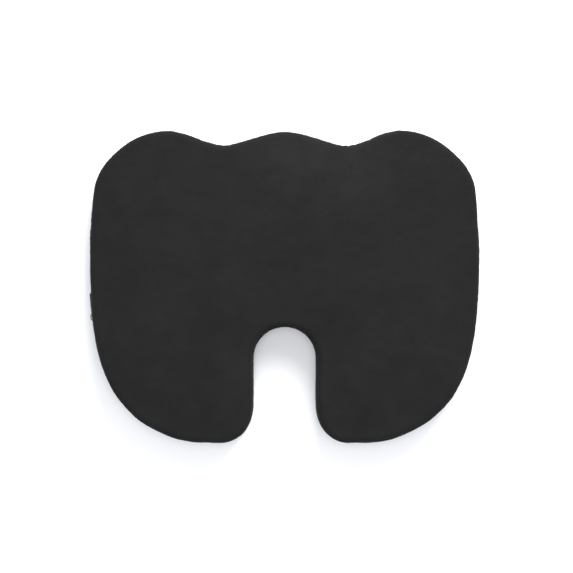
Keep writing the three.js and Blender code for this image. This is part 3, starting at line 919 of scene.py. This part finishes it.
class Nodes:
    """A material's node tree with short ways to add what the looks below share."""

    def __init__(self, name, **values):
        self.material = bpy.data.materials.new(name)
        self.material.use_nodes = True
        self.tree = self.material.node_tree
        self.shader = self.tree.nodes["Principled BSDF"]
        for socket, value in values.items():
            self.shader.inputs[socket.replace("_", " ")].default_value = value
        self.place = self.node("TexCoord").outputs["Object"]

    def put(self, value, socket):
        """Links another node's output to a socket, or sets a plain value on it."""
        if isinstance(value, bpy.types.NodeSocket):
            self.tree.links.new(value, socket)
        else:
            socket.default_value = value

    def node(self, kind, **values):
        node = self.tree.nodes.new("ShaderNode" + kind)
        for name, value in values.items():
            self.put(value, node.inputs[name])
        return node

    def math(self, operation, *values, clamp=False):
        node = self.node("Math")
        node.operation, node.use_clamp = operation, clamp
        for socket, value in zip(node.inputs, values):
            self.put(value, socket)
        return node.outputs[0]

    def noise(self, scale, detail=2.0, stretch=(1, 1, 1), roughness=0.5):
        at = self.node("Mapping", Vector=self.place, Scale=stretch).outputs[0]
        return self.node("TexNoise", Vector=at, Scale=scale, Detail=detail, Roughness=roughness).outputs[0]

    def cells(self, scale):
        return self.node("TexVoronoi", Vector=self.place, Scale=scale).outputs["Distance"]

    def attribute(self, name):
        node = self.node("Attribute")
        node.attribute_name = name
        return node.outputs["Fac"]

    def axis(self, name):
        return self.node("SeparateXYZ", Vector=self.place).outputs[name]

    def waves(self, value, pitch):
        """0 to 1 and back once every pitch along a value in metres."""
        angle = self.math("MULTIPLY", value, 2 * math.pi / pitch)
        return self.math("MULTIPLY_ADD", self.math("SINE", angle), 0.5, 0.5)

    def mixed(self, *shares):
        """A weighted sum of values."""
        total = 0.0
        for value, weight in shares:
            total = self.math("ADD", self.math("MULTIPLY", value, weight), total)
        return total

    def ramp(self, value, stops):
        """Greys or colours at positions along a value."""
        node = self.node("ValToRGB")
        elements = node.color_ramp.elements
        while len(elements) < len(stops):
            elements.new(0.5)
        for element, (position, grey) in zip(elements, stops):
            element.position = position
            color = grey if isinstance(grey, tuple) else (grey, grey, grey)
            element.color = (*color, 1)
        self.put(value, node.inputs[0])
        return node.outputs[0]

    def color(self, value, stops):
        self.put(self.ramp(value, stops), self.shader.inputs["Base Color"])

    def roughness(self, value, low, high):
        spread = self.math("MULTIPLY", value, high - low)
        self.put(self.math("ADD", spread, low, clamp=True), self.shader.inputs["Roughness"])

    def bump(self, *layers):
        """Each layer is a height from 0 to 1 and its depth in metres."""
        last = None
        for height, depth in layers:
            node = self.node("Bump", Distance=depth, Height=height)
            if last is not None:
                self.put(last, node.inputs["Normal"])
            last = node.outputs[0]
        self.put(last, self.shader.inputs["Normal"])


def painted_sheen_spot(nodes, centre, reach):
    """1 over a painted sheen highlight, where the pile is coloured lighter as if it caught the light, fading
    out over its reach in X and in Y.
    """
    total = 0.0
    for axis, middle, spread in zip("XY", centre, reach):
        offset = nodes.math("DIVIDE", nodes.math("SUBTRACT", nodes.axis(axis), middle), spread)
        total = nodes.math("ADD", nodes.math("MULTIPLY", offset, offset), total)
    return nodes.math("EXPONENT", nodes.math("MULTIPLY", total, -1.0))


def velour():
    """Short black pile: clouded where it lies differently, with stretched smudges, a fine tipped grain and a
    painted sheen highlight over the front pommel.
    """
    n = Nodes("black_velour", Specular_IOR_Level=0.04, Sheen_Weight=0.024, Sheen_Roughness=0.5)
    n.shader.inputs["Sheen Tint"].default_value = (0.8, 0.82, 0.88, 1)
    cloud = n.noise(15, 3, roughness=0.5)
    smudge = n.noise(52, 4, stretch=(1, 1.5, 1), roughness=0.6)
    crushed = n.noise(190, 3, roughness=0.6)
    pile = n.noise(1150, 2)
    fibre = n.noise(3400, 1, stretch=(1, 0.45, 1))
    # Painted sheen highlight: the pile is coloured lighter over the front pommel, standing in for light
    # catching it there
    pommel = painted_sheen_spot(n, (-40 * MM, -160 * MM), (78 * MM, 52 * MM))
    broad = (cloud, 0.25), (smudge, 0.18), (pommel, 0.13)
    fine = (crushed, 0.08), (pile, 0.22), (fibre, 0.27)
    n.color(n.mixed(*broad, *fine), [(0.34, 0.0084), (0.5, 0.0111), (0.66, 0.0151), (0.8, 0.0196)])
    n.roughness(n.mixed((pile, 0.6), (cloud, 0.4)), 0.85, 1.0)
    depths = (cloud, 0.5), (smudge, 0.22), (crushed, 0.08), (pile, 0.25), (fibre, 0.16)
    n.bump(*[(height, depth * MM) for height, depth in depths])
    return n.material


def grip_fabric():
    n = Nodes("grip_base_canvas", Specular_IOR_Level=0.2, Sheen_Weight=0.08)
    across, along = n.waves(n.axis("X"), 1.1 * MM), n.waves(n.axis("Y"), 1.1 * MM)
    weave = n.math("ABSOLUTE", n.math("SUBTRACT", across, along))
    lint = n.noise(900, 3)
    n.color(n.mixed((weave, 0.55), (lint, 0.45)), [(0.15, 0.009), (0.85, 0.022)])
    n.roughness(lint, 0.75, 0.95)
    n.bump((weave, 0.18 * MM), (lint, 0.06 * MM))
    return n.material


def rubber():
    n = Nodes("grip_rubber", Specular_IOR_Level=0.4)
    haze = n.noise(420, 4)
    n.color(haze, [(0.3, 0.018), (0.7, 0.03)])
    n.roughness(haze, 0.45, 0.75)
    n.bump((haze, 0.03 * MM))
    return n.material


def foam_look():
    n = Nodes("memory_foam", Subsurface_Weight=0.15, Specular_IOR_Level=0.2)
    cells, cloud = n.cells(850), n.noise(14, 3)
    pore = n.ramp(cells, [(0.12, 0.0), (0.45, 1.0)])
    n.color(
        n.mixed((cloud, 0.55), (pore, 0.45)),
        [(0.25, (0.58, 0.5, 0.33)), (0.55, (0.78, 0.72, 0.55)), (0.9, (0.86, 0.82, 0.68))],
    )
    n.roughness(pore, 0.75, 0.95)
    n.bump((pore, 0.25 * MM), (cloud, 0.8 * MM))
    return n.material


def knit():
    n = Nodes("liner_knit", Specular_IOR_Level=0.25, Sheen_Weight=0.15)
    wales, courses = n.waves(n.axis("X"), 1.3 * MM), n.waves(n.axis("Y"), 0.9 * MM)
    loops = n.math("MULTIPLY", wales, courses)
    fuzz = n.noise(1100, 3)
    n.color(n.mixed((loops, 0.6), (fuzz, 0.4)), [(0.1, (0.5, 0.5, 0.47)), (0.7, (0.74, 0.74, 0.7))])
    n.roughness(fuzz, 0.75, 0.95)
    n.bump((loops, 0.25 * MM), (fuzz, 0.05 * MM))
    return n.material


def tape_weave():
    """A fine herringbone: slanted ribs whose slant turns over every few threads of height."""
    n = Nodes("zip_tape_weave", Specular_IOR_Level=0.25, Sheen_Weight=0.1)
    run, height = n.attribute("run"), n.axis("Z")
    zigzag = n.math("PINGPONG", height, 1.1 * MM)
    slanted = n.math("ADD", run, zigzag)
    ribs = n.waves(slanted, 0.62 * MM)
    threads = n.waves(height, 0.5 * MM)
    lint = n.noise(1500, 2)
    n.color(n.mixed((ribs, 0.5), (threads, 0.2), (lint, 0.3)), [(0.2, 0.006), (0.8, 0.019)])
    n.roughness(lint, 0.7, 0.9)
    n.bump((ribs, 0.1 * MM), (threads, 0.05 * MM))
    return n.material


def nylon():
    n = Nodes("zip_coil_nylon", Specular_IOR_Level=0.5)
    haze, drawn = n.noise(600, 3), n.noise(2600, 2)
    n.color(haze, [(0.3, 0.006), (0.7, 0.012)])
    n.roughness(n.mixed((haze, 0.6), (drawn, 0.4)), 0.28, 0.55)
    n.bump((drawn, 0.02 * MM))
    return n.material


def thread():
    n = Nodes("sewing_thread", Specular_IOR_Level=0.35, Sheen_Weight=0.15)
    ply, lint = n.waves(n.math("ADD", n.attribute("run"), n.axis("Z")), 0.35 * MM), n.noise(1800, 2)
    n.color(n.mixed((ply, 0.6), (lint, 0.4)), [(0.2, 0.010), (0.8, 0.026)])
    n.roughness(lint, 0.5, 0.8)
    n.bump((ply, 0.05 * MM))
    return n.material


def blackened_metal():
    n = Nodes("blackened_metal", Metallic=0.9)
    haze, scratch = n.noise(240, 4), n.noise(700, 3, stretch=(1, 6, 1))
    edge = n.node("NewGeometry").outputs["Pointiness"]
    worn = n.ramp(edge, [(0.5, 0.0), (0.62, 1.0)])
    tone = n.math("ADD", n.math("MULTIPLY", haze, 0.35), n.math("MULTIPLY", worn, 0.55))
    n.color(tone, [(0.1, 0.022), (0.45, 0.05), (0.85, 0.2)])
    n.roughness(n.mixed((scratch, 0.6), (haze, 0.4)), 0.22, 0.5)
    n.bump((scratch, 0.02 * MM))
    return n.material


def satin_label():
    n = Nodes("label_satin", Specular_IOR_Level=0.4, Sheen_Weight=0.1)
    ribs, stain = n.waves(n.axis("Z"), 0.3 * MM), n.noise(120, 3)
    n.color(n.mixed((ribs, 0.3), (stain, 0.7)), [(0.2, (0.72, 0.71, 0.68)), (0.8, (0.86, 0.85, 0.82))])
    n.roughness(stain, 0.45, 0.65)
    n.bump((ribs, 0.04 * MM))
    return n.material


# ---- assembly


def wear(obj, material):
    obj.data.materials.clear()
    obj.data.materials.append(material)
    return obj


def with_run(obj):
    """Stores each point's distance along the outline, for weaves that follow the band."""
    tree = tree_of(LOOP_POINTS)
    runs = np.empty(len(obj.data.vertices))
    for i, p in enumerate(coordinates(obj)):
        nearest = tree.find((p[0], p[1], 0))[1]
        along = (LOOP_POINTS[(nearest + 1) % LOOP_COUNT] - LOOP_POINTS[nearest - 1]) / (2 * LOOP_STEP)
        runs[i] = nearest * LOOP_STEP + (p[:2] - LOOP_POINTS[nearest]) @ along
    obj.data.attributes.new("run", "FLOAT", "POINT").data.foreach_set("value", runs)
    return obj


def add(obj, body, slot, material, *nodes, fill=None):
    wear(obj, material)
    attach(obj, body)
    if nodes:
        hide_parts(*nodes)
    return obj


def build_cushion():
    foam = make_foam()
    rest, moved = puff_up(foam)
    puff = Puff(rest, moved)
    set_coordinates(foam, rest + moved)
    foam.modifiers.new("Finer", "SUBSURF").levels = 1
    foam = smooth(apply_modifiers(foam))
    cloth = velour()
    add(foam, "cushion", "foam", foam_look(), "foam_core", fill=0.9)
    liner_look = knit()
    add(make_liner_top(puff), "cushion", "liner_knit", liner_look, "liner_top", fill=0.8)
    wear(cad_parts["liner_base"], liner_look)
    add(make_cover_top(puff), "cushion", "velour", cloth, "cover_top_panel", fill=0.8)
    names = ("cover_band_upper", "cover_band_lower", "cover_band_rear")
    for band, node in zip(make_bands(), names):
        add(band, "cushion", "velour", cloth, node, fill=0.8)
    add(make_base(), "cushion", "grip_fabric", grip_fabric(), "cover_base_panel")
    add(make_grip_dots(), "cushion", "grip_fabric", rubber())
    wear(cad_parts["care_label"], satin_label())
    return cloth


def build_zip(cloth):
    weave, filament, seam_thread, metal = tape_weave(), nylon(), thread(), blackened_metal()
    for row, side in (("upper", 1), ("lower", -1)):
        add(with_run(make_tape(row, side)), "cushion", "zip_tape", weave, f"zip_tape_{row}")
        add(make_coil(row, side), "cushion", "zip_coil", filament, f"zip_coil_{row}")
    add(with_run(make_zip_stitches()), "cushion", "zip_tape", seam_thread)
    add(with_run(make_tab_stitches()), "cushion", "zip_tape", seam_thread)
    add(make_end_tab("zip_tab_right", TAB_FROM, TAB_TO), "cushion", "velour", cloth, "zip_end_tab_right")
    add(make_end_tab("zip_tab_left", -TAB_TO, -TAB_FROM), "cushion", "velour", cloth, "zip_end_tab_left")
    for stop, node in make_stops():
        add(stop, "cushion", "zip_metal", metal, node)
    add(make_slider(), "slider", "zip_metal", metal, "zip_slider_body")
    add(make_pull(), "pull", "zip_metal", metal, "zip_pull_tab")


# ---- floor, light and camera


def build_stage():
    bpy.ops.mesh.primitive_plane_add(size=40, location=(0, 0, 0))
    floor = bpy.context.object
    floor.name = "floor"
    n = Nodes("studio_floor", Roughness=0.75, Specular_IOR_Level=0.2)
    n.color(n.noise(3, 2), [(0.3, (0.86, 0.865, 0.875)), (0.7, (0.88, 0.885, 0.89))])
    wear(floor, n.material)


def area_light(name, at, size, power, color):
    data = bpy.data.lights.new(name, "AREA")
    data.shape, data.size, data.energy, data.color = "DISK", size, power, color
    light = linked(name, data)
    light.location = at
    light.rotation_mode = "QUATERNION"
    light.rotation_quaternion = Vector(at).to_track_quat("Z", "Y")


def build_light():
    world = bpy.data.worlds.new("studio")
    world.use_nodes = True
    background = world.node_tree.nodes["Background"]
    background.inputs["Color"].default_value = (0.95, 0.965, 1.0, 1)
    background.inputs["Strength"].default_value = 0.95
    bpy.context.scene.world = world
    area_light("key", at=(-0.42, -1.25, 1.4), size=1.2, power=46, color=(1.0, 0.985, 0.965))
    area_light("overhead", at=(0, 0.1, 2.6), size=1.0, power=29, color=(0.97, 0.98, 1.0))
    scene = bpy.context.scene
    scene.view_settings.view_transform = "Standard"
    scene.view_settings.look = "None"


CAMERA_HEIGHT = 2.3
CAMERA_OFFSET = -2.2 * MM, -0.1 * MM
SENSOR_WIDTH = 36
FRAME_WIDTH_AT_FACE = 0.6578


def build_camera():
    """Square on to the sitting face, with the lobed front edge at the top of the picture."""
    data = bpy.data.cameras.new("camera")
    data.sensor_width = SENSOR_WIDTH
    data.lens = SENSOR_WIDTH * (CAMERA_HEIGHT - FACE_Z) / FRAME_WIDTH_AT_FACE
    data.clip_start, data.clip_end = 0.05, 60
    camera = linked("camera", data)
    camera.location = (*CAMERA_OFFSET, CAMERA_HEIGHT)
    camera.rotation_euler = (0, 0, math.pi)
    bpy.context.scene.camera = camera


build_camera()
build_zip(build_cushion())
build_stage()
build_light()
